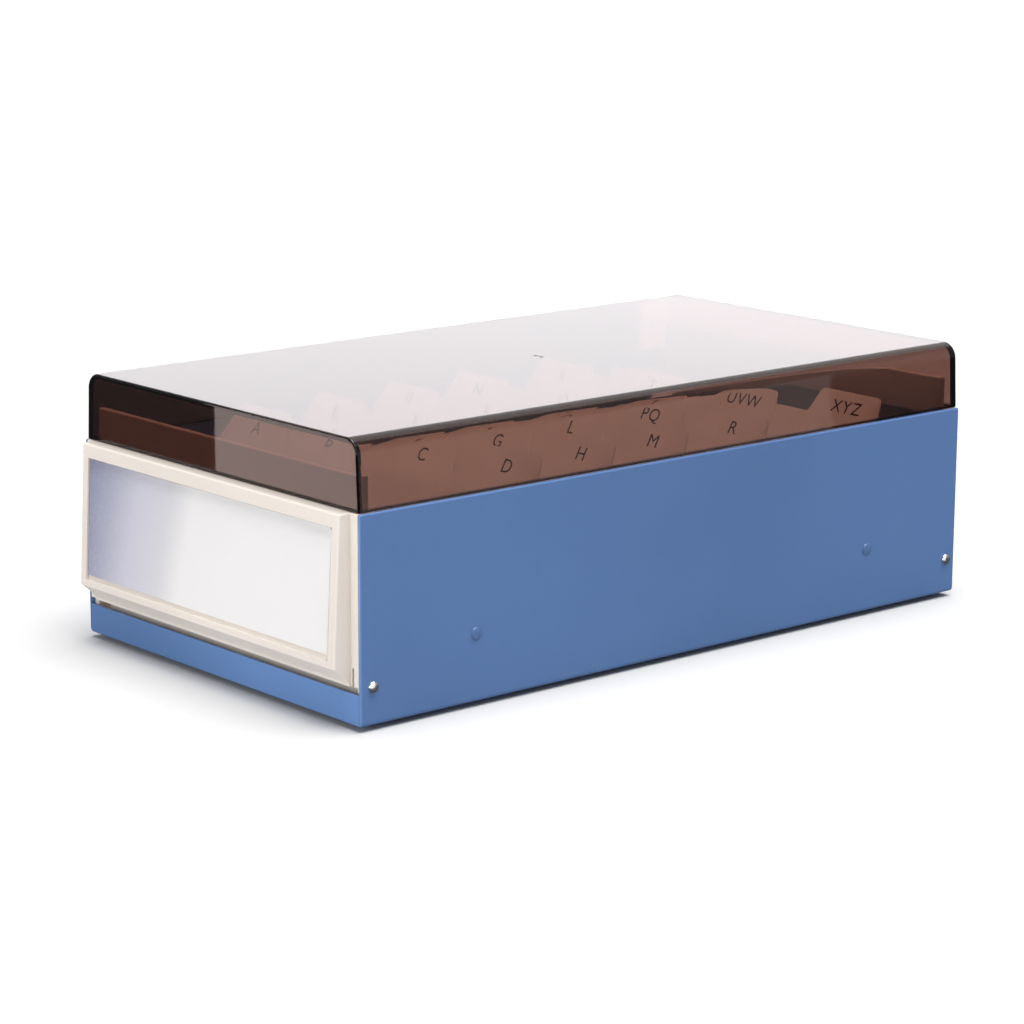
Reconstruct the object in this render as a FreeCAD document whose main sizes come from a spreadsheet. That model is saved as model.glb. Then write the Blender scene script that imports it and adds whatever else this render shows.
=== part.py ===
import FreeCAD, Part
import Sketcher
import math
import os

# Desk-top card index case: a low folded-steel trough with a moulded panel at
# each end, a clear smoke-brown lid hinged on the rear panel, a label holder on
# the tilting front panel, and twenty lettered index guides standing in a steel
# bed with a sliding card stop behind them.
#
# Frame: millimetres, +Z up, +X to the right seen from the front, the label
# faces -Y.  The origin is at the middle of the footprint on the table.

doc = FreeCAD.newDocument("card_index_case")
V = FreeCAD.Vector


# --------------------------------------------------------------- dimensions
class Q:
    """A size with its value and the expression that gives it."""

    def __init__(self, value, text):
        self.v = float(value)
        self.t = text

    @staticmethod
    def of(x):
        return x if isinstance(x, Q) else Q(x, "%.6f" % x)

    def __add__(self, o):
        o = Q.of(o)
        return Q(self.v + o.v, "(%s + %s)" % (self.t, o.t))

    def __sub__(self, o):
        o = Q.of(o)
        return Q(self.v - o.v, "(%s - %s)" % (self.t, o.t))

    def __mul__(self, o):
        o = Q.of(o)
        return Q(self.v * o.v, "(%s * %s)" % (self.t, o.t))

    def __truediv__(self, o):
        o = Q.of(o)
        return Q(self.v / o.v, "(%s / %s)" % (self.t, o.t))

    def __neg__(self):
        return Q(-self.v, "(0 - %s)" % self.t)

    def __radd__(self, o):
        return Q.of(o) + self

    def __rsub__(self, o):
        return Q.of(o) - self

    def __rmul__(self, o):
        return Q.of(o) * self


sheet = doc.addObject("Spreadsheet::Sheet", "Dims")
SIZES = [
    # trough
    ("BodyWidth", 128.0), ("BodyLength", 229.0), ("WallHeight", 57.0),
    ("SteelThk", 0.8), ("FootHeight", 1.5), ("FootRadius", 5.0),
    ("LipHeight", 8.6), ("HemDepth", 5.0), ("HemThk", 1.1), ("HemSetback", 6.2),
    ("BendRadius", 1.2),
    # pivots of the end panels, measured from the end face and the trough floor
    ("PivotDepth", 4.0), ("PivotHeight", 10.5), ("PivotRadius", 1.0),
    # inner bed
    ("BedRise", 2.7), ("BedFlange", 23.0), ("BedInset", 10.2),
    ("BedRivetInset", 39.0), ("BedRivetHeight", 19.0), ("BedRivetRadius", 1.2),
    ("SlotWidth", 6.0), ("SlotFront", -92.0), ("SlotRear", 101.0),
    # end panels
    ("PanelHalf", 62.9), ("PanelThk", 2.0), ("PanelFoot", 10.6),
    ("EarThk", 1.9), ("UpstandHalf", 60.2), ("UpstandTop", 66.3),
    ("UpstandDepth", 3.5), ("UpstandThk", 1.8),
    # label holder on the front panel
    ("LabelHalf", 59.8), ("LabelProudTop", 3.5), ("LabelProudFoot", 5.6),
    ("LabelFoot", 15.9), ("WindowHalf", 56.9), ("WindowDown", 4.0),
    ("WindowHigh", 35.4), ("WindowDeep", 1.35), ("CoverDeep", 0.35), ("CoverThk", 0.5),
    # lid
    ("LidInset", 0.8), ("LidEndInset", 0.3), ("LidGap", 0.3), ("LidHigh", 19.2),
    ("LidWall", 2.2),
    ("LidTop", 1.6), ("LidLean", 1.0), ("LidRound", 4.4), ("LidEndRound", 0.7),
    # hinge of the lid
    ("HingeBack", 3.1), ("KnuckleRadius", 2.5), ("PinRadius", 1.0),
    ("HingeX", 40.0),
    # index guides
    ("GuideWide", 116.0), ("GuideHigh", 59.0), ("TabHigh", 8.0),
    ("TabWide", 27.4), ("TabTop", 23.6), ("GuideThk", 0.5),
    ("GuideOffset", 1.2),
    # where the foot of each guide stands, front to rear; they are leafed unevenly
    ("StandA", -99.5), ("StandB", -94.5), ("StandC", -86.5), ("StandD", -79.5),
    ("StandE", -71.5), ("StandF", -64.5), ("StandG", -58.5), ("StandH", -52.5),
    ("StandIJ", -44.5), ("StandK", -37.5), ("StandL", -30.0), ("StandM", -25.0),
    ("StandN", -17.0), ("StandO", -8.0), ("StandPQ", 0.5), ("StandR", 6.5),
    ("StandS", 17.5), ("StandT", 28.5), ("StandUVW", 39.5), ("StandXYZ", 54.0),
    # card stop
    ("StopHalf", 50.0), ("StopHigh", 54.0), ("StopThk", 1.0), ("StopFoot", 24.0),
    ("StopAt", 56.5),
]
for row, (alias, value) in enumerate(SIZES, start=1):
    sheet.set("A%d" % row, alias)
    sheet.set("B%d" % row, "%g" % value)
    sheet.setAlias("B%d" % row, alias)
doc.recompute()
D = {alias: Q(value, "Dims.%s" % alias) for alias, value in SIZES}

W = D["BodyWidth"]
L = D["BodyLength"]
T = D["SteelThk"]
Z0 = D["FootHeight"]            # underside of the trough
HALF_W = W / 2
HALF_L = L / 2
RIM = Z0 + D["WallHeight"]      # top of the trough's sides
WALL_IN = HALF_W - T            # inner face of a side
LEAN = 30.0                     # the guides lean back this many degrees


# ------------------------------------------------------------------ helpers
def body(label):
    b = doc.addObject("PartDesign::Body", label)
    b.Label = label
    return b


def plane(b, role):
    return [o for o in b.Origin.OriginFeatures if o.Role == role][0]


def sketch(b, role, name, offset=None):
    """A sketch on one of the body's own planes, moved along its normal."""
    s = b.newObject("Sketcher::SketchObject", name)
    s.AttachmentSupport = (plane(b, role), [""])
    s.MapMode = "FlatFace"
    if offset is not None:
        offset = Q.of(offset)
        s.AttachmentOffset = FreeCAD.Placement(V(0, 0, offset.v), FreeCAD.Rotation())
        s.setExpression(".AttachmentOffset.Base.z", offset.t)
    return s


def loop(s, points):
    """A closed polygon, every corner bound to the sheet."""
    pts = [(Q.of(x), Q.of(y)) for x, y in points]
    n = len(pts)
    first = s.GeometryCount
    for i in range(n):
        a, b = pts[i], pts[(i + 1) % n]
        s.addGeometry(Part.LineSegment(V(a[0].v, a[1].v, 0), V(b[0].v, b[1].v, 0)), False)
    for i in range(n):
        s.addConstraint(Sketcher.Constraint("Coincident", first + i, 2,
                                            first + (i + 1) % n, 1))
    for i, (x, y) in enumerate(pts):
        for kind, q in (("DistanceX", x), ("DistanceY", y)):
            k = s.addConstraint(Sketcher.Constraint(kind, -1, 1, first + i, 1, q.v))
            s.setExpression("Constraints[%d]" % k, q.t)


def ring(s, cx, cy, r):
    cx, cy, r = Q.of(cx), Q.of(cy), Q.of(r)
    g = s.addGeometry(Part.Circle(V(cx.v, cy.v, 0), V(0, 0, 1), r.v), False)
    for kind, q in (("DistanceX", cx), ("DistanceY", cy)):
        k = s.addConstraint(Sketcher.Constraint(kind, -1, 1, g, 3, q.v))
        s.setExpression("Constraints[%d]" % k, q.t)
    k = s.addConstraint(Sketcher.Constraint("Radius", g, r.v))
    s.setExpression("Constraints[%d]" % k, r.t)


def pad(b, s, length, name, both=False, back=False):
    f = b.newObject("PartDesign::Pad", name)
    f.Profile = s
    length = Q.of(length)
    f.Length = length.v
    f.setExpression("Length", length.t)
    if both:
        f.SideType = "Symmetric"
    f.Reversed = back
    s.Visibility = False
    doc.recompute()
    return f


def pocket(b, s, length, name, both=False, back=False):
    before = b.Shape.Volume
    f = b.newObject("PartDesign::Pocket", name)
    f.Profile = s
    length = Q.of(length)
    f.Length = length.v
    f.setExpression("Length", length.t)
    if both:
        f.SideType = "Symmetric"
    f.Reversed = back
    doc.recompute()
    cut = before - b.Shape.Volume
    if cut < 0.5:
        raise RuntimeError("%s cuts nothing" % name)
    return f


def edges_where(shape, test):
    """Names of the edges whose every sampled point passes the test."""
    out = []
    for i, e in enumerate(shape.Edges, start=1):
        a, z = e.ParameterRange
        pts = [e.valueAt(a + (z - a) * k / 4.0) for k in range(5)]
        if e.Length > 0.05 and all(test(p) for p in pts):
            out.append("Edge%d" % i)
    return out


def fillet(b, radius, test, name):
    base = b.Tip
    names = edges_where(base.Shape, test)
    if not names:
        raise RuntimeError("%s finds no edge" % name)
    f = b.newObject("PartDesign::Fillet", name)
    f.Base = (base, names)
    radius = Q.of(radius)
    f.Radius = radius.v
    f.setExpression("Radius", radius.t)
    doc.recompute()
    return f


def near(a, b, tol=0.02):
    return abs(a - b) < tol


def prim(kind, name, **sizes):
    """A Part primitive with its sizes bound to the sheet."""
    o = doc.addObject(kind, name)
    for k, q in sizes.items():
        q = Q.of(q)
        setattr(o, k, q.v)
        o.setExpression(k, q.t)
    return o


def place(o, x=0, y=0, z=0, rot=None):
    x, y, z = Q.of(x), Q.of(y), Q.of(z)
    o.Placement = FreeCAD.Placement(V(x.v, y.v, z.v), rot or FreeCAD.Rotation())
    o.setExpression(".Placement.Base.x", x.t)
    o.setExpression(".Placement.Base.y", y.t)
    o.setExpression(".Placement.Base.z", z.t)
    return o


def group(label, members):
    """Several separate solids of one kind, kept as one sub-part."""
    c = doc.addObject("Part::Compound", label)
    c.Label = label
    c.Links = members
    return c


parts = []


def keep(o):
    parts.append(o)
    return o


# -------------------------------------------------------------- body_shell
# Folded sheet steel: floor and two sides in one bend, the sides' top edge
# folded inwards as a hem, and a low lip turned up at each end.
shell = body("body_shell")
s = sketch(shell, "XZ_Plane", "shell_section")
loop(s, [(-HALF_W, Z0), (HALF_W, Z0), (HALF_W, RIM), (WALL_IN, RIM),
         (WALL_IN, Z0 + T), (-WALL_IN, Z0 + T), (-WALL_IN, RIM), (-HALF_W, RIM)])
pad(shell, s, L, "shell_fold", both=True)
s = sketch(shell, "XZ_Plane", "hem_section")
for side in (1, -1):
    a, c = (WALL_IN - D["HemThk"]) * side, WALL_IN * side
    loop(s, [(a, RIM - D["HemDepth"]), (c, RIM - D["HemDepth"]), (c, RIM), (a, RIM)])
pad(shell, s, L - 2 * D["HemSetback"], "shell_hems", both=True)
s = sketch(shell, "XY_Plane", "lip_plan", Z0)
for end in (1, -1):
    a, c = HALF_L * end, (HALF_L - T) * end
    loop(s, [(-(WALL_IN - 0.15), a), (WALL_IN - 0.15, a),
             (WALL_IN - 0.15, c), (-(WALL_IN - 0.15), c)])
pad(shell, s, D["LipHeight"], "shell_lips")
fillet(shell, D["BendRadius"],
       lambda p: near(abs(p.x), HALF_W.v) and near(p.z, Z0.v), "bend_outside")
fillet(shell, 0.55, lambda p: near(abs(p.x), HALF_W.v) and near(p.z, RIM.v), "hem_outside")
fillet(shell, 0.8,
       lambda p: near(abs(p.x), WALL_IN.v - D["HemThk"].v) and near(p.z, RIM.v), "hem_inside")
fillet(shell, 0.35,
       lambda p: near(p.z, (Z0 + D["LipHeight"]).v) and abs(abs(p.y) - HALF_L.v) < 1.0
       and abs(p.x) < WALL_IN.v - 0.1, "lip_edge")
fillet(shell, 0.7,
       lambda p: near(p.z, Z0.v) and near(abs(p.y), HALF_L.v) and abs(p.x) < WALL_IN.v,
       "lip_bend")
s = sketch(shell, "YZ_Plane", "side_holes")
for end in (1, -1):
    ring(s, (HALF_L - D["PivotDepth"]) * end, Z0 + D["PivotHeight"], D["PivotRadius"] + 0.05)
    ring(s, (HALF_L - D["BedRivetInset"]) * end, Z0 + D["BedRivetHeight"],
         D["BedRivetRadius"] + 0.03)
pocket(shell, s, W + 2, "side_holes_cut", both=True)
keep(shell)

# ---------------------------------------------------------------- card_bed
# Inner steel channel: a raised floor that the cards stand on, side flanges
# riveted to the trough, turned-down ends, and a long slot for the card stop.
BED_OUT = WALL_IN - 0.05
BED_TOP = Z0 + D["BedRise"] + T
BED_HALF = HALF_L - D["BedInset"]
bed = body("card_bed")
s = sketch(bed, "XZ_Plane", "bed_section")
FL = Z0 + D["BedFlange"]
loop(s, [(-BED_OUT, BED_TOP - T), (BED_OUT, BED_TOP - T), (BED_OUT, FL), (BED_OUT - T, FL),
         (BED_OUT - T, BED_TOP), (-(BED_OUT - T), BED_TOP), (-(BED_OUT - T), FL),
         (-BED_OUT, FL)])
pad(bed, s, 2 * BED_HALF, "bed_fold", both=True)
s = sketch(bed, "XY_Plane", "bed_ends", Z0 + T + 0.02)
for end in (1, -1):
    a, c = BED_HALF * end, (BED_HALF - T) * end
    loop(s, [(-(BED_OUT - 2), a), (BED_OUT - 2, a), (BED_OUT - 2, c), (-(BED_OUT - 2), c)])
pad(bed, s, D["BedRise"] - T + 0.3, "bed_end_legs")
fillet(bed, 0.6, lambda p: near(abs(p.x), BED_OUT.v) and near(p.z, (BED_TOP - T).v), "bed_bend")
fillet(bed, 0.3, lambda p: near(p.z, FL.v) and near(abs(p.x), (BED_OUT - T).v), "bed_edge")
s = sketch(bed, "XY_Plane", "bed_slot", BED_TOP + 1)
loop(s, [(-D["SlotWidth"] / 2, D["SlotFront"]), (D["SlotWidth"] / 2, D["SlotFront"]),
         (D["SlotWidth"] / 2, D["SlotRear"]), (-D["SlotWidth"] / 2, D["SlotRear"])])
pocket(bed, s, T + 2, "bed_slot_cut")
s = sketch(bed, "YZ_Plane", "bed_holes")
for end in (1, -1):
    ring(s, (HALF_L - D["BedRivetInset"]) * end, Z0 + D["BedRivetHeight"],
         D["BedRivetRadius"] + 0.03)
pocket(bed, s, W + 2, "bed_holes_cut", both=True)
keep(bed)


# ------------------------------------------------------------------ rivets
def rivets(label, name, outline, spots):
    """Turned rivets: one half-section turned about X, copied to each spot."""
    s = doc.addObject("Sketcher::SketchObject", name + "_half_section")
    loop(s, outline)
    doc.recompute()
    made = []
    for i, (x, y, z, side) in enumerate(spots):
        r = doc.addObject("Part::Revolution", "%s_%d" % (name, i + 1))
        r.Source = s
        r.Axis = V(1, 0, 0)
        r.Base = V(0, 0, 0)
        r.Angle = 360
        r.Solid = True
        rot = FreeCAD.Rotation() if side > 0 else FreeCAD.Rotation(V(0, 0, 1), 180)
        place(r, x, y, z, rot)
        made.append(r)
    doc.recompute()
    return group(label, made)


# Bright pivot rivets: domed head outside, shank through steel and ear, a
# clinched tail over the washer inside.  x = 0 is the outer face of the steel.
HEAD = Q(0.95, "0.95")
EAR_IN = D["PanelHalf"] - D["EarThk"]              # inner face of an ear
TAIL = HALF_W - EAR_IN + 0.2 + 0.8                 # from outer face to washer's far face
PR = D["PivotRadius"]
pivot_outline = [(-TAIL - 0.7, 0), (-TAIL - 0.7, PR + 0.1), (-TAIL - 0.35, PR + 0.6),
                 (-TAIL, PR + 0.7), (-TAIL, PR), (0, PR), (0, PR + 0.65),
                 (0.3, PR + 0.6), (0.6, PR + 0.38), (0.82, PR - 0.1), (0.93, PR - 0.55),
                 (HEAD, 0)]
for end, label in ((-1, "front_pivot_rivets"), (1, "rear_pivot_rivets")):
    spots = [(HALF_W * side, (HALF_L - D["PivotDepth"]) * end, Z0 + D["PivotHeight"], side)
             for side in (1, -1)]
    keep(rivets(label, label[:5] + "_rivet", pivot_outline, spots))

# Plain washers between each ear and the rivet's tail.
for end, label in ((-1, "front_pivot_washers"), (1, "rear_pivot_washers")):
    made = []
    for side in (1, -1):
        x0 = (EAR_IN - 0.2 - 0.8) if side > 0 else -(EAR_IN - 0.2)
        disc = prim("Part::Cylinder", "%s_disc_%d" % (label, side + 1),
                    Radius=D["PivotRadius"] + 0.75, Height=0.8)
        hole = prim("Part::Cylinder", "%s_hole_%d" % (label, side + 1),
                    Radius=D["PivotRadius"] + 0.02, Height=2.0)
        turn = FreeCAD.Rotation(V(0, 1, 0), 90)
        yy, zz = (HALF_L - D["PivotDepth"]) * end, Z0 + D["PivotHeight"]
        place(disc, x0, yy, zz, turn)
        place(hole, x0 - 0.6, yy, zz, turn)
        cut = doc.addObject("Part::Cut", "%s_%d" % (label, side + 1))
        cut.Base, cut.Tool = disc, hole
        made.append(cut)
    keep(group(label, made))

# Low painted rivets that hold the bed's flanges to the sides.
BR = D["BedRivetRadius"]
BEDTAIL = HALF_W - BED_OUT + T
bed_outline = [(-BEDTAIL - 0.6, 0), (-BEDTAIL - 0.6, BR + 0.1), (-BEDTAIL - 0.3, BR + 0.5),
               (-BEDTAIL, BR + 0.6), (-BEDTAIL, BR), (0, BR), (0, BR + 0.6),
               (0.15, BR + 0.55), (0.38, BR + 0.25), (0.5, BR - 0.35), (0.55, 0)]
keep(rivets("bed_rivets", "bed_rivet", bed_outline,
            [(HALF_W * side, (HALF_L - D["BedRivetInset"]) * end, Z0 + D["BedRivetHeight"], side)
             for side in (1, -1) for end in (-1, 1)]))


# -------------------------------------------------------------- end panels
# Both ends are closed by a moulded panel.  Its plate stands above the steel
# lip, a ledge at rim height carries the lid's end, an upstand goes up behind
# the lid's end wall, a skirt hides behind the lip, and an ear on each side
# sits on the pivot rivet.  `e` is -1 at the front and +1 at the rear.
def at(e, depth, height):
    """Sketch point on a YZ plane from depth behind the end face and height."""
    return ((HALF_L - depth) * e, Z0 + height)


def end_panel(label, e):
    b = body(label)
    H = D["WallHeight"]
    th = D["PanelThk"]
    ph = D["PanelHalf"]
    ud, ut = D["UpstandDepth"], D["UpstandThk"]
    tag = "front" if e < 0 else "rear"
    s = sketch(b, "YZ_Plane", tag + "_plate_section")
    loop(s, [at(e, 0.1, D["PanelFoot"]), at(e, 0.1, H), at(e, ud + ut, H),
             at(e, ud + ut, H - 2.0), at(e, 0.1 + th, H - 2.0), at(e, 0.1 + th, D["PanelFoot"])])
    pad(b, s, 2 * ph, tag + "_plate", both=True)
    s = sketch(b, "YZ_Plane", tag + "_upstand_section")
    loop(s, [at(e, ud, H - 1.0), at(e, ud, D["UpstandTop"]), at(e, ud + ut, D["UpstandTop"]),
             at(e, ud + ut, H - 1.0)])
    pad(b, s, 2 * D["UpstandHalf"], tag + "_upstand", both=True)
    # ears, flush with the plate's side edges
    ear = [(1.4, 3.2), (6.5, 3.2), (8.6, 6.5), (9.0, 10.5), (8.4, 14.5), (6.0, 24.0),
           (3.6, 40.0), (2.1, 50.0), (1.2, 50.0), (1.2, D["PanelFoot"]), (1.4, D["PanelFoot"])]
    for side in (1, -1):
        s = sketch(b, "YZ_Plane", "%s_ear_section_%s" % (tag, "r" if side > 0 else "l"),
                   EAR_IN * side)
        loop(s, [at(e, d, h) for d, h in ear])
        pad(b, s, D["EarThk"], "%s_ear_%s" % (tag, "r" if side > 0 else "l"), back=side < 0)
    # ribs behind the plate
    s = sketch(b, "XZ_Plane", tag + "_rib_faces",
               -(HALF_L - 0.1 - th) * e)
    for x in (-48.0, -16.0, 16.0, 48.0) if e > 0 else (-59.4, 58.2):
        loop(s, [(x, Z0 + 15), (x + 1.2, Z0 + 15), (x + 1.2, Z0 + H - 1.5), (x, Z0 + H - 1.5)])
    pad(b, s, 2.0, tag + "_ribs", back=e < 0)
    # slits that free the foot of each ear
    s = sketch(b, "XZ_Plane", tag + "_slit_faces", -HALF_L * e)
    for side in (1, -1):
        a, c = (EAR_IN - 0.8) * side, EAR_IN * side
        loop(s, [(a, Z0 + 3), (c, Z0 + 3), (c, Z0 + 15.5), (a, Z0 + 15.5)])
    pocket(b, s, 3.5, tag + "_slits", back=e > 0)
    # pivot holes
    s = sketch(b, "YZ_Plane", tag + "_pivot_holes")
    p = at(e, D["PivotDepth"], D["PivotHeight"])
    ring(s, p[0], p[1], D["PivotRadius"] + 0.06)
    pocket(b, s, W, tag + "_pivot_cut", both=True)
    # skirt, set back behind the lip and carried by a short shelf; it ends clear
    # of the rivets' tails
    s = sketch(b, "YZ_Plane", tag + "_skirt_section")
    loop(s, [at(e, 1.5, D["PanelFoot"] + 1.0), at(e, 1.5, D["PanelFoot"] + 2.6),
             at(e, 5.2, D["PanelFoot"] + 2.6), at(e, 5.2, 3.2), at(e, 3.7, 3.2),
             at(e, 3.7, D["PanelFoot"] + 1.0)])
    pad(b, s, 2 * (EAR_IN - 2.4), tag + "_skirt", both=True)
    yo = (HALF_L.v - 0.1) * e
    fillet(b, 0.5, lambda q: near(q.y, yo) and near(q.z, RIM.v), tag + "_top_edge")
    fillet(b, 0.5, lambda q: near(q.z, (Z0 + D["UpstandTop"]).v), tag + "_upstand_edge")
    return b


front = end_panel("front_panel_moulding", -1)

# Label holder: a raised box whose face leans so that its foot stands further
# out than its top, with a sunk window for the card and its clear cover.
H = D["WallHeight"]
s = sketch(front, "YZ_Plane", "holder_section")
pt, pf = D["LabelProudTop"], D["LabelProudFoot"]
loop(s, [at(-1, 0.6, H), at(-1, -pt, H), at(-1, -pf, D["LabelFoot"]),
         at(-1, -pf + 0.6, D["LabelFoot"]), at(-1, -pf + 0.6, D["LabelFoot"] - 0.35),
         at(-1, -0.9, D["PanelFoot"] + 1.4), at(-1, -0.6, D["PanelFoot"]),
         at(-1, 0.6, D["PanelFoot"])])
pad(front, s, 2 * D["LabelHalf"], "holder_box", both=True)
yt = -(HALF_L + pt)
fillet(front, 0.7, lambda p: near(p.z, RIM.v) and near(p.y, yt.v), "holder_top_edge")
run = (pf.v - pt.v) / (H - D["LabelFoot"]).v
fillet(front, 0.6, lambda p: near(abs(p.x), D["LabelHalf"].v)
       and near(p.y, yt.v - (RIM.v - p.z) * run, 0.03), "holder_side_edges")
tilt = math.degrees(math.atan2(pf.v - pt.v, (H - D["LabelFoot"]).v))
face = math.hypot(pf.v - pt.v, (H - D["LabelFoot"]).v)


def on_face(x, down, out):
    """A point on the label face: x across, down from its top edge, out of it."""
    a = math.radians(tilt)
    return V(x, yt.v - down * math.sin(a) - out * math.cos(a),
             RIM.v - down * math.cos(a) + out * math.sin(a))


def face_box(name, wide, high, thick, down, out):
    """A box lying in the label face; `out` is its outer surface."""
    b = prim("Part::Box", name, Length=wide, Width=thick, Height=high)
    wide, high, thick = Q.of(wide), Q.of(high), Q.of(thick)
    c = on_face(-wide.v / 2, down + high.v, out)
    b.Placement = FreeCAD.Placement(c, FreeCAD.Rotation(V(1, 0, 0), -tilt))
    return b


window_hole = face_box("window_hole", 2 * D["WindowHalf"], D["WindowHigh"],
                       D["WindowDeep"] + 2, D["WindowDown"].v, 2.0)
core = prim("Part::Box", "holder_core", Length=2 * D["WindowHalf"] - 2, Width=2.9, Height=33.0)
place(core, -(D["WindowHalf"] - 1), -(HALF_L + 0.6), Z0 + 18.5)
drain = doc.addObject("Part::MultiFuse", "holder_hollows")
drain.Shapes = [window_hole, core]
front_cut = doc.addObject("Part::Cut", "front_panel")
front_cut.Base, front_cut.Tool = front, drain
front_cut.Label = "front_panel"
doc.recompute()
keep(front_cut)

card = face_box("label_card", 2 * D["WindowHalf"] - 0.6, D["WindowHigh"] - 0.6, 0.35,
                D["WindowDown"].v + 0.3, -D["WindowDeep"].v + 0.4)
card.Label = "label_card"
keep(card)
clear = face_box("label_window_blank", 2 * D["WindowHalf"] - 0.2, D["WindowHigh"] - 0.2,
                 D["CoverThk"], D["WindowDown"].v + 0.1, -D["CoverDeep"].v)
clear_f = doc.addObject("Part::Fillet", "label_window")
clear_f.Base = clear
doc.recompute()
names = []
for i, ed in enumerate(clear.Shape.Edges, start=1):
    d = ed.valueAt(ed.LastParameter) - ed.valueAt(ed.FirstParameter)
    if near(ed.Length, D["CoverThk"].v, 0.01):
        names.append((i, 1.2, 1.2))
clear_f.Edges = names
clear_f.Label = "label_window"
doc.recompute()
keep(clear_f)

# Rear panel: the same moulding with hinge lugs in place of the label holder.
# Tongues under the hems keep it from leaning out.
rear = end_panel("rear_panel", 1)
for side in (1, -1):
    tag = "r" if side > 0 else "l"
    s = sketch(rear, "YZ_Plane", "tongue_section_" + tag, EAR_IN * side)
    loop(s, [at(1, 1.2, 43), at(1, 13, 47), at(1, 13, H - D["HemDepth"] - 0.2),
             at(1, 1.2, H - D["HemDepth"] - 0.2)])
    pad(rear, s, D["EarThk"], "tongue_" + tag, back=side < 0)
AX_Y = HALF_L + D["HingeBack"]
AX_Z = RIM
KR = D["KnuckleRadius"]
LUGS = [(28.7, 5.0), (46.3, 5.0)]
for side in (1, -1):
    for k, (x, wide) in enumerate(LUGS):
        tag = "%s%d" % ("r" if side > 0 else "l", k + 1)
        x0 = x if side > 0 else -x - wide
        s = sketch(rear, "YZ_Plane", "lug_arm_section_" + tag, x0)
        loop(s, [(HALF_L - 1.0, RIM - 8), (HALF_L - 0.1, RIM - 8), (AX_Y, RIM - KR),
                 (AX_Y, RIM), (HALF_L - 1.0, RIM)])
        pad(rear, s, wide, "lug_arm_" + tag)
        s = sketch(rear, "YZ_Plane", "lug_eye_section_" + tag, x0)
        ring(s, AX_Y, AX_Z, KR)
        pad(rear, s, wide, "lug_eye_" + tag)
s = sketch(rear, "YZ_Plane", "lug_bores")
ring(s, AX_Y, AX_Z, D["PinRadius"] + 0.01)
pocket(rear, s, W, "lug_bores_cut", both=True)
keep(rear)

# --------------------------------------------------------------------- lid
# Clear smoke-brown moulding: shallow open box, long sides drawn in a little
# towards the top, long top edges well rounded, end edges nearly sharp.
lid = body("lid_moulding")
LB = RIM + D["LidGap"]
LT = LB + D["LidHigh"]
lo = HALF_W - D["LidInset"]
hi = lo - D["LidLean"]
LID_L = L - 2 * D["LidEndInset"]
s = sketch(lid, "XZ_Plane", "lid_section")
loop(s, [(-lo, LB), (lo, LB), (hi, LT), (-hi, LT)])
pad(lid, s, LID_L, "lid_block", both=True)
fillet(lid, D["LidRound"], lambda p: near(p.z, LT.v) and near(abs(p.x), hi.v), "lid_long_edges")
fillet(lid, D["LidEndRound"],
       lambda p: near(abs(p.y), LID_L.v / 2) and p.z > LB.v + 0.005 or
       (near(abs(p.y), LID_L.v / 2) and near(abs(p.x), lo.v, 1.3)), "lid_end_edges")
s = sketch(lid, "XZ_Plane", "lid_hollow_section")
wl, wt = D["LidWall"], D["LidTop"]
loop(s, [(-(lo - wl), LB - 1), (lo - wl, LB - 1), (hi - wl + 0.2, LT - wt),
         (-(hi - wl + 0.2), LT - wt)])
pocket(lid, s, LID_L - 2 * wl, "lid_hollow", both=True)
fillet(lid, 2.6, lambda p: near(p.z, (LT - wt).v) and near(abs(p.x), (hi - wl + 0.2).v),
       "lid_inner_long_edges")
fillet(lid, 1.0, lambda p: near(abs(p.x), lo.v - wl.v, 1.5) and
       near(abs(p.y), LID_L.v / 2 - wl.v) and LB.v - 0.1 < p.z < LT.v - wt.v - 1.0,
       "lid_inner_corners")
for side in (1, -1):
    x0 = D["HingeX"] - 6 if side > 0 else -D["HingeX"] - 6
    tag = "r" if side > 0 else "l"
    s = sketch(lid, "YZ_Plane", "lid_lug_arm_section_" + tag, x0)
    loop(s, [(HALF_L - 1.2, LB), (AX_Y, LB), (AX_Y, RIM + KR), (HALF_L + 0.6, RIM + 6),
             (HALF_L - 1.2, RIM + 7)])
    pad(lid, s, 12.0, "lid_lug_arm_" + tag)
    s = sketch(lid, "YZ_Plane", "lid_lug_eye_section_" + tag, x0)
    ring(s, AX_Y, AX_Z, KR)
    pad(lid, s, 12.0, "lid_lug_eye_" + tag)
s = sketch(lid, "YZ_Plane", "lid_bores")
ring(s, AX_Y, AX_Z, D["PinRadius"] + 0.06)
pocket(lid, s, W, "lid_bores_cut", both=True)
lid.Label = "lid"
keep(lid)

# Hinge pins: plain steel pins with a small flat head at the outer end.
pins = []
for side in (1, -1):
    turn = FreeCAD.Rotation(V(0, 1, 0), 90)
    shank = prim("Part::Cylinder", "pin_shank_%d" % (side + 1), Radius=D["PinRadius"], Height=23.4)
    place(shank, 28.3 if side > 0 else -51.7, AX_Y, AX_Z, turn)
    head = prim("Part::Cylinder", "pin_head_%d" % (side + 1), Radius=D["PinRadius"] + 0.7,
                Height=0.8)
    place(head, 51.35 if side > 0 else -52.15, AX_Y, AX_Z, turn)
    pin = doc.addObject("Part::Fuse", "hinge_pin_%d" % (side + 1))
    pin.Base, pin.Tool = shank, head
    pins.append(pin)
keep(group("hinge_pins", pins))

# -------------------------------------------------------------------- feet
feet = []
for sx in (1, -1):
    for sy in (1, -1):
        f = prim("Part::Cylinder", "foot_%d%d" % (sx + 1, sy + 1), Radius=D["FootRadius"],
                 Height=Z0)
        place(f, (HALF_W - 14) * sx, (HALF_L - 16) * sy, 0)
        feet.append(f)
keep(group("rubber_feet", feet))

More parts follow.
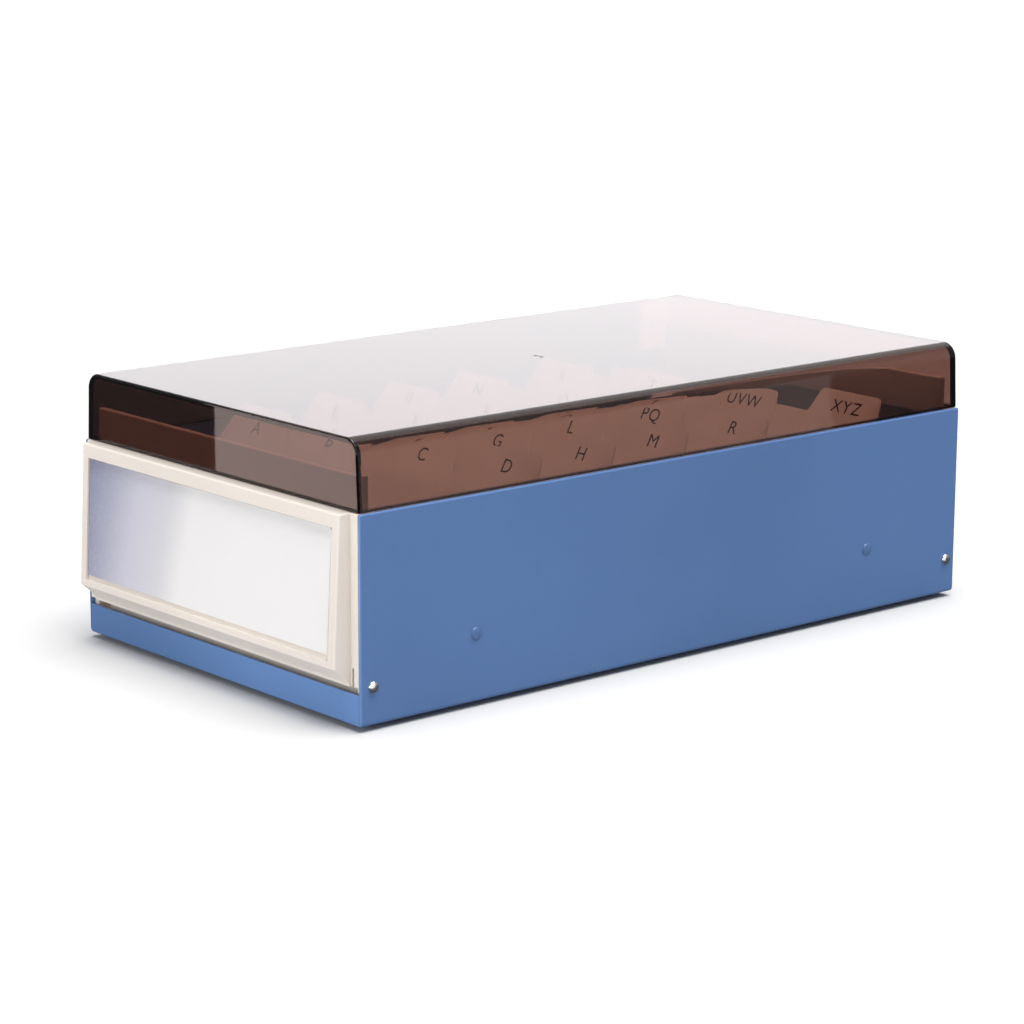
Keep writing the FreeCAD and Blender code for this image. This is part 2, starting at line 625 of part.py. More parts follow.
# --------------------------------------------------------------- card stop
# Bent plate that backs the guides: a foot on the bed, a plate leaning back at
# the guides' angle, a nylon slider under the slot and two rivets.
STOP_Z = BED_TOP + 0.25
th = math.radians(LEAN)
st = D["StopThk"]
stop = body("card_stop_plate")
s = sketch(stop, "YZ_Plane", "stop_section")
y0, hh = D["StopAt"], D["StopHigh"]
sn, cs = math.sin(th), math.cos(th)
loop(s, [(y0, STOP_Z), (y0 + D["StopFoot"], STOP_Z), (y0 + D["StopFoot"], STOP_Z + st),
         (y0 + st * (1 / cs) + st * math.tan(th), STOP_Z + st),
         (y0 + hh * sn + st * cs, STOP_Z + hh * cs - st * sn), (y0 + hh * sn, STOP_Z + hh * cs)])
pad(stop, s, 2 * D["StopHalf"], "stop_bend", both=True)
s = sketch(stop, "XY_Plane", "stop_holes", STOP_Z + 3)
ring(s, 0, y0 + 9, 1.25)
ring(s, 0, y0 + 18, 1.25)
pocket(stop, s, 6, "stop_holes_cut")
fillet(stop, 2.5, lambda p: near(abs(p.x), D["StopHalf"].v) and p.z > STOP_Z.v + 0.2
       and abs(p.z - (STOP_Z + hh * cs).v) < 1.5 and p.y > (y0 + hh * sn).v - 0.3,
       "stop_corners")
keep(stop)

slider = body("card_stop_slider")
s = sketch(slider, "XZ_Plane", "slider_section", -(y0 + 3))
SB = BED_TOP - T - 0.2
loop(s, [(-5.5, SB - 1.3), (5.5, SB - 1.3), (5.5, SB), (2.8, SB), (2.8, STOP_Z), (-2.8, STOP_Z),
         (-2.8, SB), (-5.5, SB)])
pad(slider, s, 21.0, "slider_block", back=True)
s = sketch(slider, "XY_Plane", "slider_holes", STOP_Z + 3)
ring(s, 0, y0 + 9, 1.25)
ring(s, 0, y0 + 18, 1.25)
pocket(slider, s, 12, "slider_holes_cut")
keep(slider)

stop_rivets = []
for k, dy in enumerate((9, 18)):
    shank = prim("Part::Cylinder", "stop_rivet_shank_%d" % (k + 1), Radius=1.2,
                 Height=STOP_Z + st - SB + 1.3)
    place(shank, 0, y0 + dy, SB - 1.3)
    head = prim("Part::Cylinder", "stop_rivet_head_%d" % (k + 1), Radius=2.1, Height=0.7)
    place(head, 0, y0 + dy, STOP_Z + st)
    fz = doc.addObject("Part::Fuse", "stop_rivet_%d" % (k + 1))
    fz.Base, fz.Tool = shank, head
    stop_rivets.append(fz)
keep(group("card_stop_rivets", stop_rivets))

# ------------------------------------------------------------ index guides
# Twenty stiff card guides, tabs in four columns stepping left to right, five
# rows deep.  Each stands on the bed and leans back on the one behind it.
NAMES = ["a", "b", "c", "d", "e", "f", "g", "h", "ij", "k", "l", "m", "n", "o", "pq", "r",
         "s", "t", "uvw", "xyz"]
gw, gh, tabh = D["GuideWide"], D["GuideHigh"], D["TabHigh"]
for i, nm in enumerate(NAMES):
    g = body("guide_" + nm)
    s = sketch(g, "XZ_Plane", "outline_" + nm)
    cx = gw * ((i % 4 + 0.5) / 4.0 - 0.5)
    hb, ht = D["TabWide"] / 2, D["TabTop"] / 2
    pts = [(-gw / 2, 0), (gw / 2, 0), (gw / 2, gh - 1.5), (gw / 2 - 1.5, gh)]
    if i % 4 == 3:
        pts = pts[:-1] + [(gw / 2 - 0.4, gh)]
    pts += [(cx + hb, gh), (cx + ht, gh + tabh - 1.2), (cx + ht - 1.4, gh + tabh),
            (cx - ht + 1.4, gh + tabh), (cx - ht, gh + tabh - 1.2), (cx - hb, gh)]
    if i % 4 == 0:
        pts += [(-gw / 2 + 0.4, gh), (-gw / 2, gh - 1.5)]
    else:
        pts += [(-gw / 2 + 1.5, gh), (-gw / 2, gh - 1.5)]
    loop(s, pts)
    pad(g, s, D["GuideThk"], "card_" + nm, both=True)
    place(g, D["GuideOffset"], D["Stand" + nm.upper()], BED_TOP + 0.35,
          FreeCAD.Rotation(V(1, 0, 0), -LEAN))
    keep(g)

# ------------------------------------------------------------ check, write
doc.recompute()
bad = [o.Name for o in doc.Objects if "Invalid" in o.State or "Error" in o.State]
if bad:
    raise RuntimeError("failed objects: %s" % bad)
for o in parts:
    sh = o.Shape
    if sh.isNull() or not sh.isValid() or not sh.Solids:
        raise RuntimeError("bad shape: %s" % o.Label)
labels = [o.Label for o in parts]
if len(set(labels)) != len(labels):
    raise RuntimeError("two sub-parts share a label")
os.makedirs("parts", exist_ok=True)
for o in parts:
    o.Shape.exportStep("parts/%s.step" % o.Label)
    bb = o.Shape.BoundBox
    print("%-22s solids %d  vol %9.2f  x %.2f %.2f  y %.2f %.2f  z %.2f %.2f" % (
        o.Label, len(o.Shape.Solids), o.Shape.Volume, bb.XMin, bb.XMax, bb.YMin, bb.YMax,
        bb.ZMin, bb.ZMax))
print("parts written:", len(parts))
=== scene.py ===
import math
import random

import bmesh
import bpy
from mathutils import Matrix, Vector, noise


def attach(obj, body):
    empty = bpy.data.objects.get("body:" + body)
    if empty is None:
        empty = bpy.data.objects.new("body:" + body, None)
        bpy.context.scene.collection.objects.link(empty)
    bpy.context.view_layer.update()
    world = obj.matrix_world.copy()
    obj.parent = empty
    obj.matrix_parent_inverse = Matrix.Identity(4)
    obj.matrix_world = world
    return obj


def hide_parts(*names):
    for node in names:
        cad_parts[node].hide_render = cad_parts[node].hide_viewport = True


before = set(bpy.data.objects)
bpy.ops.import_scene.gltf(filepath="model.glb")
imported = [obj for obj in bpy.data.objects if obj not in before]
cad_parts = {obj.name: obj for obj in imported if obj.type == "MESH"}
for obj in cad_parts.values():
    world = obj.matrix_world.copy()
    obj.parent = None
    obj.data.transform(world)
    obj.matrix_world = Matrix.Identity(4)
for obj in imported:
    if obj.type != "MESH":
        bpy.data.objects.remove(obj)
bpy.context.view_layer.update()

# Desk-top card index case: blue enamelled steel trough, cream moulded ends, a
# label holder on the tilting front panel, a clear smoke-brown lid and twenty
# lettered index guides.  Sizes below are in millimetres; MM turns them into
# metres.
MM = 0.001
random.seed(7)
scene = bpy.context.scene
col = scene.collection


# =================================================================== camera
def set_camera():
    yaw, pitch, roll = (math.radians(a) for a in (49.45, 12.84, 0.22))
    fwd = Vector((-math.sin(yaw) * math.cos(pitch), math.cos(yaw) * math.cos(pitch),
                  -math.sin(pitch)))
    right = Vector((math.cos(yaw), math.sin(yaw), 0.0))
    down = fwd.cross(right)
    cr, sr = math.cos(roll), math.sin(roll)
    x = cr * right - sr * down
    d = sr * right + cr * down
    m = Matrix.Identity(4)
    for r in range(3):
        m[r][0], m[r][1], m[r][2] = x[r], -d[r], -fwd[r]
    m.translation = Vector((0.6962, -0.6040, 0.2416))
    data = bpy.data.cameras.new("camera")
    data.sensor_width = 36.0
    data.lens = 112.29
    data.clip_start = 0.01
    data.clip_end = 50.0
    cam = bpy.data.objects.new("camera", data)
    cam.matrix_world = m
    col.objects.link(cam)
    scene.camera = cam


set_camera()


# ================================================================ materials
class Nodes:
    """A small helper for building a material's node tree."""

    def __init__(self, name):
        self.mat = bpy.data.materials.new(name)
        self.mat.use_nodes = True
        self.t = self.mat.node_tree
        self.t.nodes.clear()
        self.out = self.t.nodes.new("ShaderNodeOutputMaterial")

    def new(self, kind, **values):
        n = self.t.nodes.new(kind)
        for k, v in values.items():
            setattr(n, k, v)
        return n

    def link(self, a, b):
        self.t.links.new(a, b)

    def principled(self, **values):
        p = self.new("ShaderNodeBsdfPrincipled")
        for k, v in values.items():
            p.inputs[k.replace("_", " ")].default_value = v
        return p

    def coords(self):
        if not hasattr(self, "_co"):
            self._co = self.new("ShaderNodeTexCoord")
        return self._co.outputs["Object"]

    def noise(self, scale, detail=3.0, rough=0.5, stretch=None, distort=0.0):
        n = self.new("ShaderNodeTexNoise")
        n.inputs["Scale"].default_value = scale
        n.inputs["Detail"].default_value = detail
        n.inputs["Roughness"].default_value = rough
        n.inputs["Distortion"].default_value = distort
        src = self.coords()
        if stretch:
            m = self.new("ShaderNodeMapping")
            m.inputs["Scale"].default_value = stretch
            self.link(src, m.inputs["Vector"])
            src = m.outputs["Vector"]
        self.link(src, n.inputs["Vector"])
        return n.outputs["Fac"]

    def ramp(self, fac, stops, smooth=False):
        r = self.new("ShaderNodeValToRGB")
        if smooth:
            r.color_ramp.interpolation = "EASE"
        e = r.color_ramp.elements
        while len(e) > len(stops):
            e.remove(e[-1])
        while len(e) < len(stops):
            e.new(1.0)
        for k, (pos, c) in enumerate(stops):
            e[k].position = pos
            e[k].color = (*c, 1.0) if len(c) == 3 else c
        self.link(fac, r.inputs["Fac"])
        return r.outputs["Color"]

    def spread(self, fac, low, high, a=0.0, b=1.0):
        r = self.new("ShaderNodeMapRange")
        r.inputs["From Min"].default_value = a
        r.inputs["From Max"].default_value = b
        r.inputs["To Min"].default_value = low
        r.inputs["To Max"].default_value = high
        self.link(fac, r.inputs["Value"])
        return r.outputs["Result"]

    def mix(self, fac, a, b, blend="MIX"):
        m = self.new("ShaderNodeMix", data_type="RGBA", blend_type=blend)
        for k, v in ((0, fac), (6, a), (7, b)):
            if isinstance(v, bpy.types.NodeSocket):
                self.link(v, m.inputs[k])
            else:
                m.inputs[k].default_value = v if k == 0 else (*v, 1.0)
        return m.outputs[2]

    def bump(self, height, strength, distance, normal=None):
        b = self.new("ShaderNodeBump")
        b.inputs["Strength"].default_value = strength
        b.inputs["Distance"].default_value = distance
        self.link(height, b.inputs["Height"])
        if normal is not None:
            self.link(normal, b.inputs["Normal"])
        return b.outputs["Normal"]

    def surface(self, socket):
        self.link(socket, self.out.inputs["Surface"])
        return self.mat


def shade(c, k):
    return tuple(max(0.0, min(1.0, v * k)) for v in c)


def paint(name, base, rough=0.36, coat=0.25):
    """Baked enamel on sheet steel: faint orange peel, cloudy tone, tiny specks."""
    m = Nodes(name)
    p = m.principled(Metallic=0.0, IOR=1.5, Coat_Weight=coat, Coat_Roughness=0.22)
    cloud = m.noise(9.0, 3.0, 0.55)
    tone = m.ramp(cloud, [(0.32, shade(base, 0.955)), (0.68, shade(base, 1.045))], True)
    speck = m.noise(1400.0, 1.0, 0.5)
    dots = m.spread(speck, 0.0, 1.0, 0.72, 0.80)
    p_col = m.mix(dots, tone, shade(base, 0.86))
    m.link(p_col, p.inputs["Base Color"])
    m.link(m.spread(m.noise(38.0, 4.0, 0.6), rough - 0.05, rough + 0.06), p.inputs["Roughness"])
    peel = m.noise(420.0, 2.0, 0.5)
    m.link(m.bump(peel, 0.16, 0.00012), p.inputs["Normal"])
    return m.surface(p.outputs["BSDF"])


def moulded(name, base, rough=0.42, grain=0.20, tint=None):
    """Injection-moulded plastic: satin, fine spark-eroded grain, slow tone drift."""
    m = Nodes(name)
    p = m.principled(Metallic=0.0, IOR=1.49, Specular_IOR_Level=0.45)
    drift = m.noise(14.0, 2.0, 0.5)
    tone = m.ramp(drift, [(0.3, shade(base, 0.965)), (0.7, tint or shade(base, 1.03))], True)
    fleck = m.spread(m.noise(900.0, 1.0, 0.5), 0.0, 0.35, 0.6, 0.85)
    m.link(m.mix(fleck, tone, shade(base, 0.90)), p.inputs["Base Color"])
    m.link(m.spread(m.noise(60.0, 3.0, 0.6), rough - 0.06, rough + 0.07), p.inputs["Roughness"])
    fine = m.noise(2600.0, 2.0, 0.55)
    m.link(m.bump(fine, grain, 0.00006), p.inputs["Normal"])
    return m.surface(p.outputs["BSDF"])


def clear_plastic(name, sigma, rough=0.02, ior=1.49, lamp=(0.95, 0.95, 0.95), foot=None):
    """Polished clear moulding.  The colour is in the material itself, so thick
    edges are darker.  Lamps pass straight through, a little coloured at each
    face, so what is inside is lit.  Below the height foot, in mm, the colour is
    painted near black: painted shade standing in for the shadow gap under the
    lid's rim."""
    m = Nodes(name)
    p = m.principled(Metallic=0.0, IOR=ior, Transmission_Weight=1.0, Roughness=rough)
    p.inputs["Base Color"].default_value = (1.0, 1.0, 1.0, 1.0)
    # painted shade: near black below the foot height, standing in for the shadow gap at the lid's
    # rim
    if foot:
        sep = m.new("ShaderNodeSeparateXYZ")
        m.link(m.coords(), sep.inputs["Vector"])
        m.link(m.ramp(m.spread(sep.outputs["Z"], 0.0, 1.0, (foot - 0.25) * MM, (foot + 0.25) * MM),
                      [(0.0, (0.05, 0.045, 0.05)), (1.0, (1.0, 1.0, 1.0))]),
               p.inputs["Base Color"])
    haze = m.noise(22.0, 3.0, 0.6)
    m.link(m.spread(haze, max(0.0, rough - 0.012), rough + 0.02), p.inputs["Roughness"])
    wave = m.noise(16.0, 1.0, 0.4)
    m.link(m.bump(wave, 0.05, 0.0008), p.inputs["Normal"])
    path = m.new("ShaderNodeLightPath")
    clear = m.new("ShaderNodeBsdfTransparent")
    clear.inputs["Color"].default_value = (*lamp, 1.0)
    mix = m.new("ShaderNodeMixShader")
    m.link(path.outputs["Is Shadow Ray"], mix.inputs[0])
    m.link(p.outputs["BSDF"], mix.inputs[1])
    m.link(clear.outputs["BSDF"], mix.inputs[2])
    if max(sigma) > 0:
        v = m.new("ShaderNodeVolumeAbsorption")
        d = max(sigma)
        v.inputs["Density"].default_value = d
        v.inputs["Color"].default_value = (*[1 - s / d for s in sigma], 1.0)
        m.link(v.outputs["Volume"], m.out.inputs["Volume"])
    return m.surface(mix.outputs["Shader"])


def metal(name, base, rough=0.22, stretch=None):
    """Bright plated steel with faint turning marks."""
    m = Nodes(name)
    p = m.principled(Metallic=1.0, Roughness=rough)
    m.link(m.ramp(m.noise(300.0, 3.0, 0.6), [(0.3, shade(base, 0.90)), (0.7, shade(base, 1.04))]),
           p.inputs["Base Color"])
    m.link(m.spread(m.noise(1500.0, 2.0, 0.6, stretch), rough - 0.07, rough + 0.10),
           p.inputs["Roughness"])
    m.link(m.bump(m.noise(1200.0, 2.0, 0.5, stretch), 0.12, 0.00004), p.inputs["Normal"])
    return m.surface(p.outputs["BSDF"])


def card_stock(name, base, edge=None):
    """Uncoated stiff card: soft fibre mottling and a matt, slightly toothed face."""
    m = Nodes(name)
    p = m.principled(Metallic=0.0, Roughness=0.78, Specular_IOR_Level=0.25)
    cloud = m.noise(60.0, 4.0, 0.65)
    fibre = m.noise(1600.0, 3.0, 0.6, (1.0, 0.35, 1.0))
    tone = m.ramp(cloud, [(0.3, shade(base, 0.965)), (0.7, shade(base, 1.02))], True)
    f = m.spread(fibre, 0.0, 0.5, 0.52, 0.75)
    m.link(m.mix(f, tone, shade(base, 0.93)), p.inputs["Base Color"])
    m.link(m.bump(fibre, 0.25, 0.00005), p.inputs["Normal"])
    return m.surface(p.outputs["BSDF"])


def label_stock_painted_shade(name):
    """White label card with painted shade: it darkens to lavender towards its left end, standing
    in for the front light's reflection fading off there.
    """
    m = Nodes(name)
    p = m.principled(Metallic=0.0, Roughness=0.55, Specular_IOR_Level=0.35)
    sep = m.new("ShaderNodeSeparateXYZ")
    m.link(m.coords(), sep.inputs["Vector"])
    # distance from the left edge, a little further along lower down
    slant = m.new("ShaderNodeMath", operation="MULTIPLY_ADD")
    m.link(sep.outputs["Z"], slant.inputs[0])
    slant.inputs[1].default_value = -0.22
    m.link(sep.outputs["X"], slant.inputs[2])
    soft = m.noise(24.0, 2.0, 0.5)
    wob = m.new("ShaderNodeMath", operation="MULTIPLY_ADD")
    m.link(soft, wob.inputs[0])
    wob.inputs[1].default_value = 0.004
    m.link(slant.outputs[0], wob.inputs[2])
    t = m.spread(wob.outputs[0], 0.0, 1.0, -0.0645, 0.0035)
    # painted shade: darker and lavender at the left end, white towards the right
    tone = m.ramp(t, [(0.0, LABEL_A), (0.16, LABEL_B), (0.34, LABEL_C), (0.57, LABEL_D),
                      (0.72, LABEL_E)])
    fibre = m.noise(1300.0, 3.0, 0.6)
    m.link(m.mix(m.spread(fibre, 0.0, 0.25, 0.5, 0.8), tone, (0.86, 0.86, 0.87)),
           p.inputs["Base Color"])
    m.link(m.bump(fibre, 0.12, 0.00004), p.inputs["Normal"])
    return m.surface(p.outputs["BSDF"])


def ink(name, base):
    m = Nodes(name)
    p = m.principled(Metallic=0.0, Roughness=0.6, Specular_IOR_Level=0.3)
    m.link(m.ramp(m.noise(1500.0, 3.0, 0.7), [(0.3, base), (0.75, shade(base, 2.2))]),
           p.inputs["Base Color"])
    m.link(m.spread(m.noise(500.0), 0.5, 0.7), p.inputs["Roughness"])
    return m.surface(p.outputs["BSDF"])


def rubber(name):
    m = Nodes(name)
    p = m.principled(Metallic=0.0, Roughness=0.7, Specular_IOR_Level=0.3)
    m.link(m.ramp(m.noise(300.0), [(0.3, (0.014, 0.014, 0.015)), (0.7, (0.030, 0.030, 0.031))]),
           p.inputs["Base Color"])
    m.link(m.bump(m.noise(2200.0, 3.0), 0.3, 0.00008), p.inputs["Normal"])
    m.link(m.spread(m.noise(500.0), 0.6, 0.85), p.inputs["Roughness"])
    return m.surface(p.outputs["BSDF"])


BLUE = (0.0865, 0.181, 0.400)
CREAM = (0.755, 0.695, 0.635)
# painted shade ramp of the label card, from the darker lavender left end (A) to the white right
# end (E)
LABEL_A = (0.31, 0.32, 0.455)
LABEL_B = (0.44, 0.45, 0.565)
LABEL_C = (0.635, 0.625, 0.73)
LABEL_D = (0.70, 0.695, 0.735)
LABEL_E = (0.89, 0.88, 0.89)
M_BLUE = paint("enamel_blue", BLUE)
# painted shade: the rivet heads get the body enamel darkened to 0.84, standing in for the shade on
# their low domes
M_HEAD = paint("enamel_blue_heads_painted_shade", tuple(0.84 * c for c in BLUE))
M_BED = paint("enamel_blue_inner", shade(BLUE, 0.92), 0.42, 0.1)
M_CREAM = moulded("moulded_cream", CREAM)
# foot=59.3 paints the lid's lowest rim near black, as painted shade for the gap under it
M_SMOKE = clear_plastic("clear_smoke", (560.0, 775.0, 850.0), lamp=(0.80, 0.69, 0.655),
                        foot=59.3)
M_COVER = clear_plastic("clear_cover", (2.0, 2.0, 1.0), 0.03, 1.46)
M_LABEL = label_stock_painted_shade("label_card_stock")
M_GUIDE = card_stock("guide_stock", (0.90, 0.875, 0.82))
M_INK = ink("printed_ink", (0.012, 0.012, 0.014))
M_STEEL = metal("bright_plate", (0.84, 0.85, 0.87), 0.20)
M_NYLON = moulded("nylon_natural", (0.80, 0.79, 0.74), 0.5)
M_RUBBER = rubber("foot_rubber_black")


# ================================================================== helpers
def new_piece(name, bm_or_mesh, body, node, mats, smooth=32.0, weighted=True):
    """Links a finished mesh (in metres, row frame) as a piece of the object."""
    if isinstance(bm_or_mesh, bmesh.types.BMesh):
        me = bpy.data.meshes.new(name)
        bm_or_mesh.to_mesh(me)
        bm_or_mesh.free()
    else:
        me = bm_or_mesh
        me.name = name
    keep = [f.material_index for f in me.polygons] if len(mats) > 1 else None
    me.materials.clear()
    for mt in mats:
        me.materials.append(mt)
    if keep:
        me.polygons.foreach_set("material_index", keep)
    me.shade_smooth()
    me.set_sharp_from_angle(angle=math.radians(smooth))
    o = bpy.data.objects.new(name, me)
    col.objects.link(o)
    if weighted:
        w = o.modifiers.new("even_normals", "WEIGHTED_NORMAL")
        w.keep_sharp = True
        w.weight = 80
    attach(o, body)
    if node:
        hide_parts(*([node] if isinstance(node, str) else node))
    return o


def scratch(name, bm):
    me = bpy.data.meshes.new(name)
    bm.to_mesh(me)
    bm.free()
    o = bpy.data.objects.new(name, me)
    col.objects.link(o)
    return o


def baked(o):
    """The object's mesh with its modifiers applied; the object is removed."""
    bpy.context.view_layer.update()
    dg = bpy.context.evaluated_depsgraph_get()
    me = bpy.data.meshes.new_from_object(o.evaluated_get(dg))
    bpy.data.objects.remove(o)
    return me


def combine(base_bm, tools, name="work"):
    """Boolean of a base mesh with [(operation, bmesh), ...], exact."""
    o = scratch(name, base_bm)
    cutters = []
    for op, bm in tools:
        c = scratch(name + "_tool", bm)
        c.hide_render = True
        cutters.append(c)
        md = o.modifiers.new("b", "BOOLEAN")
        md.operation = op
        md.solver = "EXACT"
        md.object = c
    me = baked(o)
    for c in cutters:
        d = c.data
        bpy.data.objects.remove(c)
        bpy.data.meshes.remove(d)
    return me


def to_bm(me):
    bm = bmesh.new()
    bm.from_mesh(me)
    return bm


def prism(points, axis, a, b):
    """Closed prism: a 2-D outline swept along axis from a to b (mm in, m out)."""
    def at(u, v, w):
        p = {"X": (w, u, v), "Y": (u, w, v), "Z": (u, v, w)}[axis]
        return Vector(p) * MM
    bm = bmesh.new()
    lo = [bm.verts.new(at(u, v, a)) for u, v in points]
    hi = [bm.verts.new(at(u, v, b)) for u, v in points]
    n = len(points)
    bm.faces.new(lo)
    bm.faces.new(hi)
    for i in range(n):
        bm.faces.new((lo[i], lo[(i + 1) % n], hi[(i + 1) % n], hi[i]))
    bmesh.ops.recalc_face_normals(bm, faces=bm.faces)
    return bm


def rounded(points, radii, steps=6):
    """A polygon with its corners turned into arcs.  Radius 0 keeps a corner."""
    n = len(points)
    if isinstance(radii, (int, float)):
        radii = [radii] * n
    out = []
    for i in range(n):
        p = Vector(points[i])
        a = (Vector(points[i - 1]) - p)
        b = (Vector(points[(i + 1) % n]) - p)
        r = radii[i]
        if r <= 0:
            out.append(tuple(p))
            continue
        la, lb = a.length, b.length
        a, b = a / la, b / lb
        half = a.angle(b) / 2
        if abs(math.pi / 2 - half) < 0.01:
            out.append(tuple(p))
            continue
        t = min(r / math.tan(half), la * 0.49, lb * 0.49)
        r = t * math.tan(half)
        c = p + (a + b).normalized() * (r / math.sin(half))
        s, e = p + a * t - c, p + b * t - c
        turn = math.pi - 2 * half
        sign = 1 if s.x * e.y - s.y * e.x > 0 else -1
        for k in range(steps + 1):
            an = sign * turn * k / steps
            q = Vector((s.x * math.cos(an) - s.y * math.sin(an),
                        s.x * math.sin(an) + s.y * math.cos(an)))
            out.append(tuple(c + q))
    return out


def lathe(outline, at, direction, steps=40):
    """Turned piece: outline of (along, radius) pairs in mm, both ends at 0."""
    z = Vector(direction).normalized()
    x = z.orthogonal().normalized()
    y = z.cross(x)
    bm = bmesh.new()
    rings = []
    for h, r in outline:
        base = Vector(at) * MM + z * h * MM
        if r <= 1e-6:
            rings.append([bm.verts.new(base)])
        else:
            rings.append([bm.verts.new(base + (x * math.cos(a) + y * math.sin(a)) * r * MM)
                          for a in (2 * math.pi * k / steps for k in range(steps))])
    for a, b in zip(rings, rings[1:]):
        for k in range(steps):
            j = (k + 1) % steps
            if len(a) == 1 and len(b) == 1:
                continue
            if len(a) == 1:
                bm.faces.new((a[0], b[k], b[j]))
            elif len(b) == 1:
                bm.faces.new((a[k], a[j], b[0]))
            else:
                bm.faces.new((a[k], a[j], b[j], b[k]))
    bmesh.ops.recalc_face_normals(bm, faces=bm.faces)
    return bm


def merge(bms):
    out = bmesh.new()
    for bm in bms:
        me = bpy.data.meshes.new("tmp")
        bm.to_mesh(me)
        bm.free()
        out.from_mesh(me)
        bpy.data.meshes.remove(me)
    return out


def soften(me, width, angle=38.0, segments=2):
    """Small rounded arrises on every sharp edge of a mesh."""
    bm = me if isinstance(me, bmesh.types.BMesh) else to_bm(me)
    bmesh.ops.remove_doubles(bm, verts=bm.verts, dist=2e-6)
    bmesh.ops.dissolve_limit(bm, angle_limit=math.radians(0.6), verts=bm.verts, edges=bm.edges)
    o = scratch("soften", bm)
    md = o.modifiers.new("arris", "BEVEL")
    md.width = width * MM
    md.segments = segments
    md.limit_method = "ANGLE"
    md.angle_limit = math.radians(angle)
    md.miter_outer = "MITER_ARC"
    md.use_clamp_overlap = True
    return baked(o)


def from_cad(node):
    """A clean copy of a CAD node's mesh to work on."""
    bm = to_bm(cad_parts[node].data)
    bmesh.ops.remove_doubles(bm, verts=bm.verts, dist=2e-6)
    bmesh.ops.dissolve_limit(bm, angle_limit=math.radians(0.6), verts=bm.verts, edges=bm.edges)
    return bm


# ====================================================================== lid
def lid_block(lo, hi, zb, zt, half, r_long, r_end, seg_long, seg_end):
    """Outer or inner skin of the lid, open below."""
    bm = bmesh.new()
    v = {}
    for sx in (-1, 1):
        for sy in (-1, 1):
            v[sx, sy, 0] = bm.verts.new(Vector((lo * sx, half * sy, zb)) * MM)
            v[sx, sy, 1] = bm.verts.new(Vector((hi * sx, half * sy, zt)) * MM)
    f = bm.faces.new
    f((v[-1, -1, 1], v[1, -1, 1], v[1, 1, 1], v[-1, 1, 1]))
    f((v[-1, -1, 0], v[-1, 1, 0], v[1, 1, 0], v[1, -1, 0]))
    f((v[-1, -1, 0], v[1, -1, 0], v[1, -1, 1], v[-1, -1, 1]))
    f((v[1, 1, 0], v[-1, 1, 0], v[-1, 1, 1], v[1, 1, 1]))
    f((v[1, -1, 0], v[1, 1, 0], v[1, 1, 1], v[1, -1, 1]))
    f((v[-1, 1, 0], v[-1, -1, 0], v[-1, -1, 1], v[-1, 1, 1]))
    bmesh.ops.recalc_face_normals(bm, faces=bm.faces)
    long_edges = [e for e in bm.edges if all(abs(p.co.z - zt * MM) < 1e-7 for p in e.verts)
                  and abs(e.verts[0].co.y - e.verts[1].co.y) > 0.01]
    bmesh.ops.bevel(bm, geom=long_edges, offset=r_long * MM, offset_type="OFFSET",
                    segments=seg_long, profile=0.5, affect="EDGES", clamp_overlap=False)
    ends = [e for e in bm.edges if all(abs(abs(p.co.y) - half * MM) < 1e-6 for p in e.verts)
            and (e.verts[0].co.y > 0) == (e.verts[1].co.y > 0)
            and not all(abs(p.co.z - zb * MM) < 1e-7 for p in e.verts)]
    bmesh.ops.bevel(bm, geom=ends, offset=r_end * MM, offset_type="OFFSET",
                    segments=seg_end, profile=0.5, affect="EDGES", clamp_overlap=False)
    floor = [x for x in bm.faces if all(abs(p.co.z - zb * MM) < 1e-6 for p in x.verts)]
    bmesh.ops.delete(bm, geom=floor, context="FACES_ONLY")
    return bm


